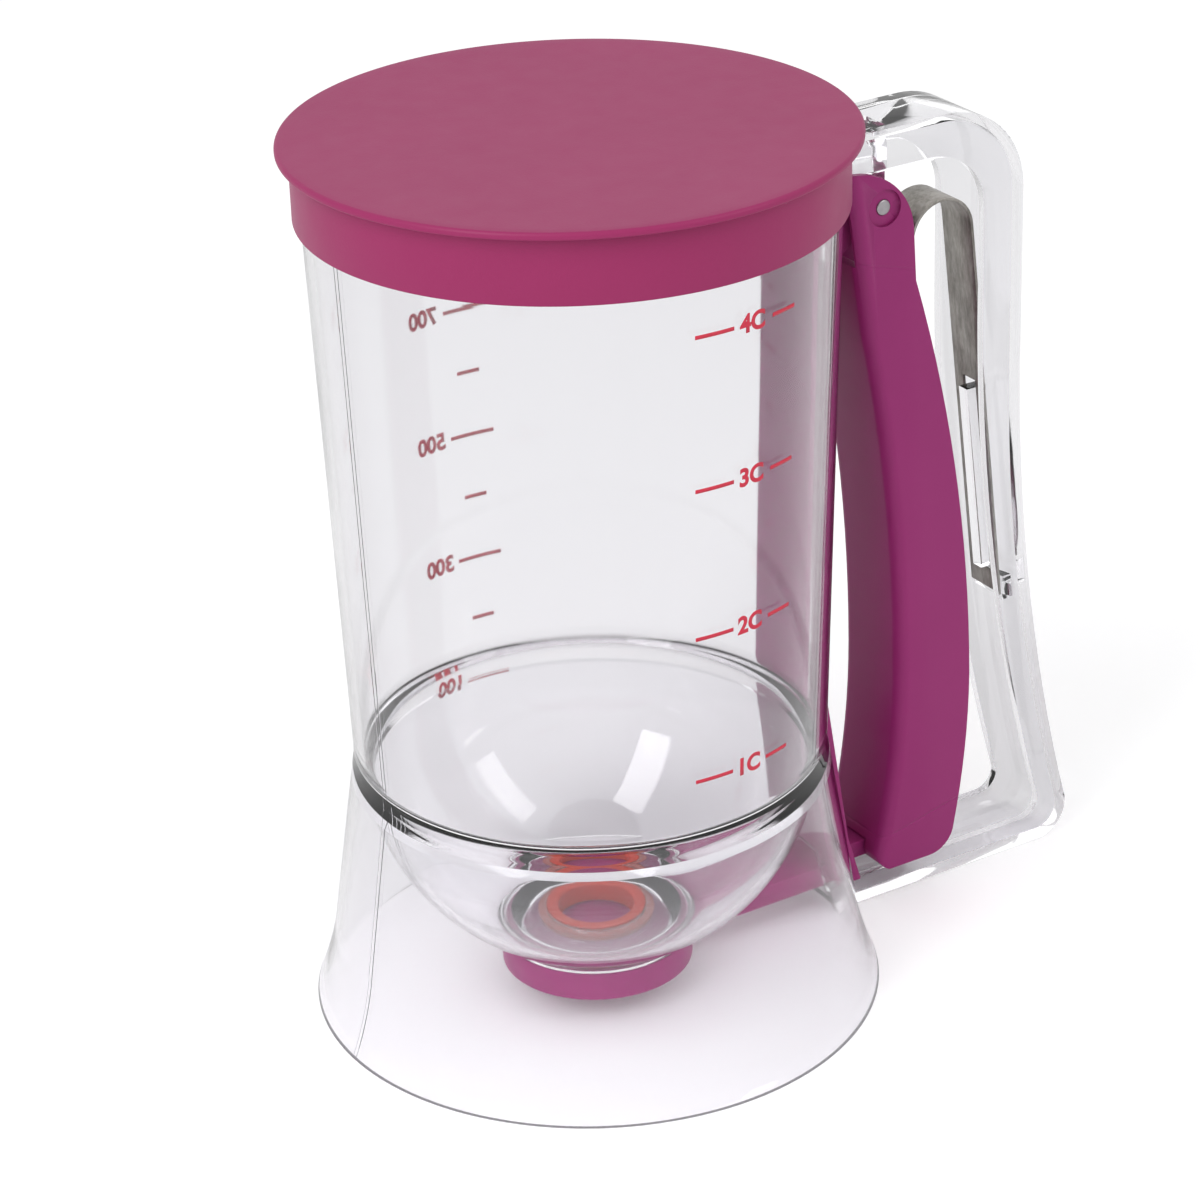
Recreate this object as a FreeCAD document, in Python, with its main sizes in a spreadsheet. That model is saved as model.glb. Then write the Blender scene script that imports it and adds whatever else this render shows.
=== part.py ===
import FreeCAD, Part
import Sketcher
import math
import os

# A free-standing batter dispenser. A clear jug stands on a flared skirt, and its round bowl narrows to
# an outlet in the floor. A gate under the outlet hangs on a lever that runs down outside the jug, turns
# on one pin at the top of the handle with the trigger grip, and is closed by a leaf spring.
# Z runs up the axis of the jug from the plane it stands on, and X points at the handle. Sizes are in mm.

doc = FreeCAD.newDocument("batter_dispenser")
sheet = doc.addObject("Spreadsheet::Sheet", "Sizes")


class Dim:
    """A length that knows both its number and the expression that gives it in the document."""

    def __init__(self, value, text):
        self.value = value
        self.text = text

    @staticmethod
    def of(other):
        if isinstance(other, Dim):
            return other
        return Dim(float(other), repr(float(other)))

    def __add__(self, other):
        other = Dim.of(other)
        return Dim(self.value + other.value, "(%s + %s)" % (self.text, other.text))

    def __sub__(self, other):
        other = Dim.of(other)
        return Dim(self.value - other.value, "(%s - %s)" % (self.text, other.text))

    def __mul__(self, other):
        other = Dim.of(other)
        return Dim(self.value * other.value, "(%s * %s)" % (self.text, other.text))

    def __truediv__(self, other):
        other = Dim.of(other)
        return Dim(self.value / other.value, "(%s / %s)" % (self.text, other.text))


def root(dim):
    return Dim(math.sqrt(dim.value), "sqrt(%s)" % dim.text)


rows = []


def size(alias, value):
    """Put a driving size into the sheet and hand back its number with its expression."""
    rows.append(alias)
    row = len(rows)
    sheet.set("A%d" % row, alias)
    sheet.set("B%d" % row, str(value))
    sheet.setAlias("B%d" % row, alias)
    return Dim(float(value), "Sizes." + alias)


# Jug: wall, waist, flared skirt and rim
total_height = size("total_height", 200)
wall = size("wall", 2)
base_radius = size("base_radius", 63.2)
flare_radius = size("flare_radius", 57.9)
flare_height = size("flare_height", 20)
flare_curve = size("flare_curve", 80)
waist_radius = size("waist_radius", 51.8)
waist_height = size("waist_height", 60)
waist_band = size("waist_band", 2.5)
rim_radius = size("rim_radius", 55.6)

# Lid
lid_radius = size("lid_radius", 60)
lid_plate = size("lid_plate", 1.6)
lid_wall = size("lid_wall", 1.4)
lid_depth = size("lid_depth", 16)
lid_fit = size("lid_fit", 0.3)
lid_round = size("lid_round", 0.6)

# Bowl floor, outlet and gasket
bowl_wall = size("bowl_wall", 1.9)
floor_height = size("floor_height", 18)
floor_plate = size("floor_plate", 2)
outlet_radius = size("outlet_radius", 8.5)
gasket_wall = size("gasket_wall", 2.8)
gasket_flange = size("gasket_flange", 2)
gasket_lip = size("gasket_lip", 0.4)
gasket_fit = size("gasket_fit", 0.05)
collar_wall = size("collar_wall", 1.8)

# Gate and lever
gate_radius = size("gate_radius", 21.3)
gate_top = size("gate_top", 13)
gate_depth = size("gate_depth", 6.5)
gate_plate = size("gate_plate", 2.2)
gate_wall = size("gate_wall", 2)
gate_gap = size("gate_gap", 0.2)
arm_width = size("arm_width", 13)
arm_height = size("arm_height", 5)
arm_gap = size("arm_gap", 0.8)
slot_height = size("slot_height", 17)
lever_gap = size("lever_gap", 1)
lever_plate = size("lever_plate", 2.4)
lever_width = size("lever_width", 22)
lever_foot = size("lever_foot", 8)
ear_wall = size("ear_wall", 1.8)
tab_width = size("tab_width", 9)
tab_height = size("tab_height", 4)
tab_base = size("tab_base", 9.5)
tab_fit = size("tab_fit", 0.4)

# Hinge pin
pin_reach = size("pin_reach", 71)
pin_height = size("pin_height", 170.5)
pin_radius = size("pin_radius", 1.75)
pin_fit = size("pin_fit", 0.05)
boss_wall = size("boss_wall", 2.8)
lug_width = size("lug_width", 9.2)
side_fit = size("side_fit", 0.3)

# Channel handle
handle_width = size("handle_width", 18)
handle_wall = size("handle_wall", 2)
handle_web = size("handle_web", 2.2)
handle_reach = size("handle_reach", 109.7)
bar_top = size("bar_top", 187.3)
bar_depth = size("bar_depth", 9.3)
shoulder_curve = size("shoulder_curve", 21)
sweep_start = size("sweep_start", 130)
sweep_curve = size("sweep_curve", 450)
sweep_out = size("sweep_out", 16)
foot_rise = size("foot_rise", 9.5)
foot_length = size("foot_length", 8.8)
foot_curve = size("foot_curve", 8)
foot_clear = size("foot_clear", 0.5)
foot_depth = size("foot_depth", 6.7)
channel_depth = size("channel_depth", 10.6)
channel_taper = size("channel_taper", 2.4)
grip_start = size("grip_start", 145)
grip_curve = size("grip_curve", 467)
inside_curve = size("inside_curve", 14)
inside_foot_curve = size("inside_foot_curve", 5)

# Trigger grip
trigger_wall = size("trigger_wall", 1.7)
finger_wall = size("finger_wall", 2.4)
finger_round = size("finger_round", 3)
trigger_top_curve = size("trigger_top_curve", 16.2)
trigger_back = size("trigger_back", 8.4)
trigger_notch = size("trigger_notch", 12.5)
trigger_waist = size("trigger_waist", 75.5)
trigger_waist_height = size("trigger_waist_height", 58)
trigger_upper_curve = size("trigger_upper_curve", 395)
trigger_lower_curve = size("trigger_lower_curve", 196)
trigger_bend = size("trigger_bend", 142)
trigger_depth = size("trigger_depth", 19.8)
trigger_front_upper = size("trigger_front_upper", 356)
trigger_front_lower = size("trigger_front_lower", 190)
trigger_clear = size("trigger_clear", 0.6)
trigger_floor = size("trigger_floor", 2.4)
recess_radius = size("recess_radius", 4.2)
recess_depth = size("recess_depth", 0.7)

# Leaf spring, its rib and its seat
spring_plate = size("spring_plate", 0.7)
spring_width = size("spring_width", 10.7)
spring_arch = size("spring_arch", 8)
arch_reach = size("arch_reach", 90.6)
arch_height = size("arch_height", 158.4)
long_leg_reach = size("long_leg_reach", 108.3)
long_leg_end = size("long_leg_end", 66.7)
short_leg_end = size("short_leg_end", 127)
spring_fit = size("spring_fit", 0.2)
spring_end_strip = size("spring_end_strip", 5)
rib_width = size("rib_width", 3)
rib_fit = size("rib_fit", 0.7)
rib_top = size("rib_top", 118)
rib_stand = size("rib_stand", 2.2)
seat_height = size("seat_height", 6)
doc.recompute()

# Places that several pieces share
inner_waist = waist_radius - wall
inner_flare = flare_radius - wall
inner_base = base_radius - wall
inner_rim = rim_radius - wall
waist_top = waist_height + waist_band
lid_bottom = total_height - lid_depth
lid_under = total_height - lid_plate
lid_inner = rim_radius + lid_fit
lid_outer = lid_inner + lid_wall
lid_room = lid_outer + lid_fit * 3
rim_start = lid_bottom - lid_fit * 2
rim_top = lid_under - lid_fit
bore_radius = outlet_radius + gasket_wall
floor_under = floor_height - floor_plate
collar_inner = gate_radius - collar_wall
collar_bottom = gate_top + gate_gap
gate_bottom = gate_top - gate_depth
slot_width = arm_width + arm_gap * 2
boss_radius = pin_radius + boss_wall
channel_width = handle_width - handle_wall * 2
bar_under = bar_top - bar_depth
foot_top = foot_clear + foot_depth
foot_reach = handle_reach + sweep_out
trigger_inner = handle_width + side_fit * 2
trigger_width = trigger_inner + trigger_wall * 2
ear_width = lug_width + side_fit * 2 + ear_wall * 2


def new_body(name):
    body = doc.addObject("PartDesign::Body", name)
    body.Label = name
    return body


def new_sketch(body, name, role, offset=None):
    """Attach a sketch to one of the body's own origin planes, moved along its normal if asked."""
    sketch = body.newObject("Sketcher::SketchObject", name)
    base = [feature for feature in body.Origin.OriginFeatures if feature.Role == role][0]
    sketch.AttachmentSupport = (base, [""])
    sketch.MapMode = "FlatFace"
    if offset is not None:
        sketch.setExpression("AttachmentOffset.Base.z", offset.text)
    return sketch


def pin_down(sketch, constraint, dim):
    """Add a sized constraint and bind it to the sheet."""
    index = sketch.addConstraint(constraint)
    sketch.setExpression("Constraints[%d]" % index, dim.text)


def place(sketch, geometry, position, x, y):
    """Fix a point of the sketch at x, y; a plain zero lies on the axis."""
    if isinstance(x, Dim):
        pin_down(sketch, Sketcher.Constraint("DistanceX", -1, 1, geometry, position, x.value), x)
    else:
        sketch.addConstraint(Sketcher.Constraint("PointOnObject", geometry, position, -2))
    if isinstance(y, Dim):
        pin_down(sketch, Sketcher.Constraint("DistanceY", -1, 1, geometry, position, y.value), y)
    else:
        sketch.addConstraint(Sketcher.Constraint("PointOnObject", geometry, position, -1))


def spot(corner):
    return FreeCAD.Vector(Dim.of(corner[0]).value, Dim.of(corner[1]).value, 0)


def arc_between(start, end, radius, leftward):
    """The shorter arc of a radius, turning left or right on its way from start to end."""
    chord = end - start
    across = FreeCAD.Vector(-chord.y, chord.x, 0).normalize()
    rise = math.sqrt(max(radius ** 2 - (chord.Length / 2) ** 2, 0))
    centre = (start + end) / 2 + across * (rise if leftward else -rise)
    first, last = (start, end) if leftward else (end, start)
    from_angle = math.atan2(first.y - centre.y, first.x - centre.x)
    to_angle = math.atan2(last.y - centre.y, last.x - centre.x)
    if to_angle < from_angle:
        to_angle += 2 * math.pi
    circle = Part.Circle(centre, FreeCAD.Vector(0, 0, 1), radius)
    return Part.ArcOfCircle(circle, from_angle, to_angle)


LEFT = "left"
RIGHT = "right"


def outline(sketch, corners):
    """A closed outline. A corner is (x, y), or (x, y, radius, turn) where an arc leaves it."""
    ends = []
    for number, corner in enumerate(corners):
        start = spot(corner)
        end = spot(corners[(number + 1) % len(corners)])
        if len(corner) == 2:
            geometry = sketch.addGeometry(Part.LineSegment(start, end))
            ends.append((geometry, 1, 2))
        else:
            arc = arc_between(start, end, corner[2].value, corner[3] == LEFT)
            geometry = sketch.addGeometry(arc)
            ends.append((geometry, 1, 2) if corner[3] == LEFT else (geometry, 2, 1))
    for number, corner in enumerate(corners):
        before = ends[number - 1]
        here = ends[number]
        sketch.addConstraint(Sketcher.Constraint("Coincident", before[0], before[2], here[0], here[1]))
        place(sketch, here[0], here[1], corner[0], corner[1])
        if len(corner) == 4:
            pin_down(sketch, Sketcher.Constraint("Radius", here[0], corner[2].value), corner[2])


def circle(sketch, x, y, radius):
    ring = sketch.addGeometry(Part.Circle(spot((x, y)), FreeCAD.Vector(0, 0, 1), radius.value))
    place(sketch, ring, 3, x, y)
    pin_down(sketch, Sketcher.Constraint("Radius", ring, radius.value), radius)


def spin(body, kind, name, corners):
    """Turn an outline in the XZ plane once round the axis of the jug."""
    sketch = new_sketch(body, name + "_profile", "XZ_Plane")
    outline(sketch, corners)
    feature = body.newObject("PartDesign::" + kind, name)
    feature.Profile = sketch
    feature.ReferenceAxis = (sketch, ["V_Axis"])
    feature.Angle = 360
    doc.recompute()
    return feature


def side_feature(body, kind, name, width, corners=None, ring=None):
    """Pad or pocket an outline or a ring of the XZ plane, evenly to both sides of it."""
    sketch = new_sketch(body, name + "_profile", "XZ_Plane")
    if corners is not None:
        outline(sketch, corners)
    else:
        circle(sketch, *ring)
    feature = body.newObject("PartDesign::" + kind, name)
    feature.Profile = sketch
    feature.SideType = "Symmetric"
    feature.setExpression("Length", width.text)
    doc.recompute()
    return feature


def box_corners(x_low, x_high, z_low, z_high):
    return [(x_low, z_low), (x_high, z_low), (x_high, z_high), (x_low, z_high)]


def round_edges(body, name, radius, wanted):
    """Fillet the edges of the tip that the test picks."""
    tip = body.Tip
    names = ["Edge%d" % (number + 1) for number, edge in enumerate(tip.Shape.Edges) if wanted(edge)]
    fillet = body.newObject("PartDesign::Fillet", name)
    fillet.Base = (tip, names)
    fillet.setExpression("Radius", radius.text)
    doc.recompute()
    return fillet


def build_shell():
    """Straight wall above the waist and flared skirt below it, with the slot that the gate arm uses."""
    body = new_body("jug_shell")
    spin(body, "Revolution", "shell_wall", [
        (base_radius, 0, flare_curve, RIGHT),
        (flare_radius, flare_height),
        (waist_radius, waist_height),
        (waist_radius, waist_top),
        (rim_radius, rim_start),
        (rim_radius, rim_top),
        (inner_rim, rim_top),
        (inner_rim, rim_start),
        (inner_waist, waist_top),
        (inner_waist, waist_height),
        (inner_flare, flare_height, flare_curve + wall, LEFT),
        (inner_base, 0),
    ])
    side_feature(body, "Pocket", "arm_slot", slot_width, box_corners(waist_height / 2, base_radius * 1.2, 0,
                                                                     slot_height))
    return body


def build_bowl():
    """Round bowl under the waist, its flat floor, the outlet bore and the collar over the gate."""
    body = new_body("bowl")
    outside = inner_waist
    inside = outside - bowl_wall
    collar_joint = waist_height - root(outside * outside - gate_radius * gate_radius)
    drop = waist_height - floor_height
    floor_edge = root(inside * inside - drop * drop)
    spin(body, "Revolution", "bowl_wall_turn", [
        (bore_radius, floor_under),
        (collar_inner, floor_under),
        (collar_inner, collar_bottom),
        (gate_radius, collar_bottom),
        (gate_radius, collar_joint, outside, LEFT),
        (outside, waist_height),
        (outside, waist_top),
        (outside - bowl_wall / 3, waist_top),
        (inside, waist_height, inside, RIGHT),
        (floor_edge, floor_height),
        (bore_radius, floor_height),
    ])
    return body


def build_gasket():
    """Soft ring in the outlet bore, with a flange under the floor that the gate closes on."""
    body = new_body("outlet_gasket")
    ring = bore_radius - gasket_fit
    spin(body, "Revolution", "gasket_ring", [
        (outlet_radius, collar_bottom),
        (ring + gasket_flange, collar_bottom),
        (ring + gasket_flange, floor_under),
        (ring, floor_under),
        (ring, floor_height + gasket_lip),
        (outlet_radius, floor_height + gasket_lip),
    ])
    return body


def build_lid():
    """Plain lift-off lid: a flat disc with a skirt that drops over the rim."""
    body = new_body("lid")
    spin(body, "Revolution", "lid_turn", [
        (0, total_height),
        (0, lid_under),
        (lid_inner, lid_under),
        (lid_inner, lid_bottom),
        (lid_outer, lid_bottom),
        (lid_outer, lid_under),
        (lid_radius, lid_under),
        (lid_radius, total_height),
    ])
    rim = lid_radius.value
    round_edges(body, "lid_edge_round", lid_round,
                lambda edge: abs(edge.BoundBox.XMax - rim) < 1e-6 and edge.BoundBox.ZLength < 1e-6)
    return body


def build_handle():
    """U channel, open to the fingers, that leaves the jug at the rim and comes back at the skirt."""
    body = new_body("handle")
    start = waist_radius - wall * 4
    grip = handle_reach - channel_depth
    inner_foot = foot_reach - channel_depth + channel_taper
    side_feature(body, "Pad", "handle_loop", handle_width, [
        (start, bar_top),
        (handle_reach - shoulder_curve, bar_top, shoulder_curve, RIGHT),
        (handle_reach, bar_top - shoulder_curve),
        (handle_reach, sweep_start, sweep_curve, LEFT),
        (foot_reach, foot_rise, foot_curve, RIGHT),
        (foot_reach - foot_length, foot_clear),
        (start, foot_clear),
        (start, foot_top),
        (inner_foot - inside_foot_curve, foot_top, inside_foot_curve, LEFT),
        (inner_foot, foot_top + inside_foot_curve, grip_curve, RIGHT),
        (grip, grip_start),
        (grip, bar_under - inside_curve, inside_curve, LEFT),
        (grip - inside_curve, bar_under),
        (start, bar_under),
    ])
    side_feature(body, "Pocket", "handle_channel", channel_width, [
        (start, bar_top - handle_web),
        (handle_reach - shoulder_curve, bar_top - handle_web, shoulder_curve - handle_web, RIGHT),
        (handle_reach - handle_web, bar_top - shoulder_curve),
        (handle_reach - handle_web, sweep_start, sweep_curve + handle_web, LEFT),
        (foot_reach - handle_web, foot_rise, foot_curve - handle_web, RIGHT),
        (foot_reach - foot_length, foot_clear + handle_web),
        (start, foot_clear + handle_web),
    ])
    build_lug(body)
    build_spring_rib(body)
    fit_to_jug(body)
    return body


def build_lug(body):
    """Lug under the top bar that carries the pin between the ears of the lever."""
    top = bar_top - handle_web / 2
    side_feature(body, "Pad", "hinge_lug", lug_width, [
        (pin_reach - boss_radius, top),
        (pin_reach - boss_radius, pin_height, boss_radius, LEFT),
        (pin_reach, pin_height - boss_radius, boss_radius, LEFT),
        (pin_reach + boss_radius, pin_height),
        (pin_reach + boss_radius, top),
    ])
    side_feature(body, "Pocket", "lug_bore", handle_width, ring=(pin_reach, pin_height, pin_radius + pin_fit))


def build_spring_rib(body):
    """Rib that holds the long leg by its slot, and the seat that its end bears on."""
    run = (long_leg_reach - arch_reach - spring_arch) / (arch_height - long_leg_end)
    rib_foot = long_leg_end + spring_end_strip + rib_fit
    face_top = long_leg_reach - run * (rib_top - long_leg_end) - rib_stand
    face_foot = long_leg_reach - run * (rib_foot - long_leg_end) - rib_stand
    bow = (sweep_start - rib_foot) * (sweep_start - rib_foot) / (sweep_curve * 2)
    side_feature(body, "Pad", "spring_rib", rib_width, [
        (face_top, rib_top),
        (face_foot, rib_foot),
        (handle_reach + bow - handle_web / 2, rib_foot),
        (handle_reach - handle_web / 2, rib_top),
    ])
    seat_face = long_leg_reach + spring_plate / 2 + spring_fit
    seat_low = long_leg_end - seat_height / 4
    seat_high = long_leg_end + seat_height * 3 / 4
    seat_bow = (sweep_start - seat_high) * (sweep_start - seat_high) / (sweep_curve * 2)
    side_feature(body, "Pad", "spring_seat", spring_width, box_corners(
        seat_face, handle_reach + seat_bow - handle_web / 2, seat_low, seat_high))


def fit_to_jug(body):
    """Trim both ends of the channel to the outside of the jug, and clear the skirt of the lid."""
    spin(body, "Groove", "jug_fit", [
        (0, foot_clear - foot_depth),
        (base_radius, foot_clear - foot_depth),
        (base_radius, 0, flare_curve, RIGHT),
        (flare_radius, flare_height),
        (waist_radius, waist_height),
        (waist_radius, waist_top),
        (rim_radius, rim_start),
        (lid_room, rim_start),
        (lid_room, total_height),
        (0, total_height),
    ])


def build_lever():
    """Gate cup, the arm that carries it through the skirt, and the strip that hangs on the pin."""
    body = new_body("valve_lever")
    spin(body, "Revolution", "gate_cup", [
        (0, gate_top),
        (0, gate_top - gate_plate),
        (gate_radius - gate_wall, gate_top - gate_plate),
        (gate_radius - gate_wall, gate_bottom),
        (gate_radius, gate_bottom),
        (gate_radius, gate_top),
    ])
    face_flare = flare_radius + lever_gap
    face_waist = waist_radius + lever_gap
    face_top = rim_radius + lever_gap - wall / 4
    foot_out = (base_radius - flare_radius) * 2 / 3
    face_foot = face_flare + foot_out
    arm_base = gate_bottom + tab_fit
    side_feature(body, "Pad", "gate_arm", arm_width, box_corners(
        gate_radius - gate_wall, face_foot + lever_plate / 2, arm_base, arm_base + arm_height))
    side_feature(body, "Pad", "lever_strip", lever_width, [
        (face_foot, lever_foot),
        (face_foot + lever_plate, lever_foot),
        (face_flare + lever_plate, flare_height),
        (face_waist + lever_plate, waist_height),
        (face_top + lever_plate, pin_height),
        (face_top, pin_height),
        (face_waist, waist_height),
        (face_flare, flare_height),
    ])
    ear_root = face_top + lever_plate / 2
    side_feature(body, "Pad", "pin_ears", ear_width, [
        (ear_root, pin_height - boss_radius * 3),
        (pin_reach, pin_height - boss_radius, boss_radius, LEFT),
        (pin_reach + boss_radius, pin_height, boss_radius, LEFT),
        (pin_reach, pin_height + boss_radius),
        (ear_root, pin_height),
    ])
    side_feature(body, "Pocket", "ear_gap", lug_width + side_fit * 2, box_corners(
        face_top + lever_plate + side_fit, pin_reach + boss_radius * 2,
        pin_height - boss_radius * 4, pin_height + boss_radius * 2))
    side_feature(body, "Pocket", "ear_bore", lever_width, ring=(pin_reach, pin_height, pin_radius + pin_fit))
    tab_end = trigger_waist - finger_wall - wall / 4
    side_feature(body, "Pad", "snap_tab", tab_width, box_corners(
        face_foot + lever_plate / 2, tab_end, tab_base, tab_base + tab_height))
    return body


def build_trigger():
    """Hollow grip, open to the handle, whose rounded finger side faces the jug."""
    body = new_body("trigger_grip")
    back = pin_reach - trigger_back
    top = pin_height + trigger_back + tab_fit
    bottom = foot_top + trigger_clear
    shoulder = top - trigger_top_curve
    rise = trigger_bend - trigger_waist_height
    bend_reach = (trigger_waist - trigger_upper_curve
                  + root(trigger_upper_curve * trigger_upper_curve - rise * rise))
    fall = trigger_waist_height - foot_rise - trigger_floor
    toe_height = trigger_waist_height - fall
    toe_reach = (trigger_waist - trigger_lower_curve
                 + root(trigger_lower_curve * trigger_lower_curve - fall * fall))
    front_waist = trigger_waist + trigger_depth
    heel_reach = front_waist - finger_round - wall / 2
    side_feature(body, "Pad", "grip_block", trigger_width, [
        (back, top, trigger_top_curve, RIGHT),
        (back + trigger_top_curve, shoulder),
        (back + trigger_top_curve + trigger_clear, shoulder - boss_radius * 2.4, trigger_front_upper, RIGHT),
        (front_waist, trigger_waist_height - wall * 3, trigger_front_lower, RIGHT),
        (heel_reach, toe_height + wall, foot_curve - trigger_clear * 2, RIGHT),
        (heel_reach - foot_depth, bottom),
        (toe_reach + finger_round, bottom, foot_curve - finger_round, RIGHT),
        (toe_reach, toe_height, trigger_lower_curve, LEFT),
        (trigger_waist, trigger_waist_height, trigger_upper_curve, LEFT),
        (bend_reach, trigger_bend),
        (back, pin_height - finger_wall),
    ])
    half = trigger_width.value / 2
    reach = back.value
    round_edges(body, "finger_side_round", finger_round,
                lambda edge: edge.BoundBox.YLength < 1e-6 and abs(abs(edge.CenterOfMass.y) - half) < 1e-6
                and edge.BoundBox.ZLength > 20 and edge.CenterOfMass.x < trigger_waist.value + 0.5
                and edge.CenterOfMass.x > reach)
    notch = pin_height - trigger_notch
    notch_share = (notch - trigger_bend) / (pin_height - finger_wall - trigger_bend)
    notch_reach = bend_reach + (back - bend_reach) * notch_share
    side_feature(body, "Pocket", "grip_hollow", trigger_inner, [
        (back - finger_wall * 2, notch),
        (notch_reach + finger_wall, notch),
        (bend_reach + finger_wall, trigger_bend, trigger_upper_curve + finger_wall, RIGHT),
        (trigger_waist + finger_wall, trigger_waist_height, trigger_lower_curve + finger_wall, RIGHT),
        (toe_reach + finger_wall, toe_height),
        (toe_reach + finger_wall, bottom + trigger_floor),
        (front_waist * 1.1, bottom + trigger_floor),
        (front_waist * 1.1, top + trigger_back),
        (back - finger_wall * 2, top + trigger_back),
    ])
    side_feature(body, "Pocket", "tab_notch", tab_width + tab_fit * 2, box_corners(
        back, toe_reach + finger_wall * 2, tab_base - tab_fit, tab_base + tab_height + tab_fit))
    side_feature(body, "Pocket", "grip_bore", trigger_width,
                 ring=(pin_reach, pin_height, pin_radius + pin_fit))
    for name, side, away in (("near_recess", 1, False), ("far_recess", -1, True)):
        sketch = new_sketch(body, name + "_profile", "XZ_Plane", trigger_width * side / 2)
        circle(sketch, pin_reach, pin_height, recess_radius)
        pocket = body.newObject("PartDesign::Pocket", name)
        pocket.Profile = sketch
        pocket.Reversed = away
        pocket.setExpression("Length", recess_depth.text)
        doc.recompute()
    return body


def build_pin():
    """One pin through the lug, both ears and both sides of the grip."""
    body = new_body("hinge_pin")
    length = trigger_width - recess_depth
    side_feature(body, "Pad", "pin_rod", length, ring=(pin_reach, pin_height, pin_radius))
    return body


def tangent_spot(centre, radius, outside, side):
    """Where the line from a point outside touches a circle, on the side asked for."""
    away = outside - centre
    near = radius ** 2 / away.Length ** 2
    across = side * radius * math.sqrt(away.Length ** 2 - radius ** 2) / away.Length ** 2
    return centre + away * near + FreeCAD.Vector(-away.y, away.x, 0) * across


def build_spring():
    """Hairpin of flat strip: a short leg on the grip, an arch, and a slotted long leg in the channel."""
    body = new_body("leaf_spring")
    sketch = new_sketch(body, "strip_profile", "XZ_Plane")
    centre = spot((arch_reach, arch_height))
    rise = short_leg_end - trigger_waist_height
    bearing = trigger_upper_curve + finger_wall
    short_reach = (trigger_waist - trigger_upper_curve + root(bearing * bearing - rise * rise) + spring_fit)
    sides = []
    for radius, thickness in ((spring_arch + spring_plate / 2, 0.0), (spring_arch - spring_plate / 2, 1.0)):
        first = spot((short_reach + spring_plate * thickness, short_leg_end))
        last = spot((long_leg_reach + spring_plate * (0.5 - thickness), long_leg_end))
        touch_first = tangent_spot(centre, radius.value, first, -1)
        touch_last = tangent_spot(centre, radius.value, last, 1)
        short = sketch.addGeometry(Part.LineSegment(first, touch_first))
        arch = sketch.addGeometry(arc_between_over(centre, radius.value, touch_last, touch_first))
        long = sketch.addGeometry(Part.LineSegment(touch_last, last))
        sides.append((short, arch, long, radius, first, last))
    for short, arch, long, radius, first, last in sides:
        sketch.addConstraint(Sketcher.Constraint("Tangent", short, 2, arch, 2))
        sketch.addConstraint(Sketcher.Constraint("Tangent", arch, 1, long, 1))
        pin_down(sketch, Sketcher.Constraint("Radius", arch, radius.value), radius)
    outer, inner = sides
    place(sketch, outer[1], 3, arch_reach, arch_height)
    sketch.addConstraint(Sketcher.Constraint("Coincident", inner[1], 3, outer[1], 3))
    place(sketch, outer[0], 1, short_reach, short_leg_end)
    place(sketch, outer[2], 2, long_leg_reach + spring_plate / 2, long_leg_end)
    for line, end in ((0, 1), (2, 2)):
        first = spot_of(sketch, outer[line], end)
        last = spot_of(sketch, inner[line], end)
        cap = sketch.addGeometry(Part.LineSegment(first, last))
        sketch.addConstraint(Sketcher.Constraint("Coincident", cap, 1, outer[line], end))
        sketch.addConstraint(Sketcher.Constraint("Coincident", cap, 2, inner[line], end))
        sketch.addConstraint(Sketcher.Constraint("Perpendicular", cap, outer[line]))
        sketch.addConstraint(Sketcher.Constraint("Parallel", outer[line], inner[line]))
    strip = body.newObject("PartDesign::Pad", "strip")
    strip.Profile = sketch
    strip.SideType = "Symmetric"
    strip.setExpression("Length", spring_width.text)
    doc.recompute()
    side_feature(body, "Pocket", "strip_slot", rib_width + rib_fit * 2, box_corners(
        arch_reach + spring_arch / 2, long_leg_reach + spring_arch,
        long_leg_end + spring_end_strip, rib_top + rib_fit * 3))
    return body


def arc_between_over(centre, radius, right, left):
    """The arc that runs over the top of a circle from its right to its left touching point."""
    from_angle = math.atan2(right.y - centre.y, right.x - centre.x)
    to_angle = math.atan2(left.y - centre.y, left.x - centre.x)
    if to_angle < from_angle:
        to_angle += 2 * math.pi
    return Part.ArcOfCircle(Part.Circle(centre, FreeCAD.Vector(0, 0, 1), radius), from_angle, to_angle)


def spot_of(sketch, geometry, position):
    return sketch.getPoint(geometry, position)


bodies = [
    build_shell(),
    build_bowl(),
    build_gasket(),
    build_lid(),
    build_handle(),
    build_lever(),
    build_trigger(),
    build_pin(),
    build_spring(),
]
doc.recompute()

faults = []
for item in doc.Objects:
    if "Invalid" in item.State or "Error" in item.State:
        faults.append("%s is %s" % (item.Name, item.State))
        continue
    if item.TypeId in ("PartDesign::Pocket", "PartDesign::Groove"):
        if item.Shape.isNull() or item.BaseFeature.Shape.isNull():
            faults.append("%s has no shape" % item.Name)
        elif item.Shape.Volume > item.BaseFeature.Shape.Volume - 1e-3:
            faults.append("%s cuts nothing" % item.Name)
for body in bodies:
    shape = body.Shape
    if shape.isNull() or not shape.isValid() or len(shape.Solids) != 1:
        faults.append("%s has no single valid solid" % body.Label)
if faults:
    raise SystemExit("\n".join(faults))

os.makedirs("parts", exist_ok=True)
for body in bodies:
    body.Shape.exportStep("parts/%s.step" % body.Label)
    bounds = body.Shape.BoundBox
    print("%-14s %9.0f mm3  x %6.1f..%6.1f  y %6.1f..%6.1f  z %6.1f..%6.1f" % (
        body.Label, body.Shape.Volume, bounds.XMin, bounds.XMax, bounds.YMin, bounds.YMax, bounds.ZMin,
        bounds.ZMax))
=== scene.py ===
# %% [markdown]
# A batter dispenser in clear and berry-coloured plastic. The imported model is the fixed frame: it says
# where every piece sits and what moves. This file gives each piece its finished shape and surface.

# %% Load the frame
import math

import bmesh
import bpy
from mathutils import Matrix, Vector


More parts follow.
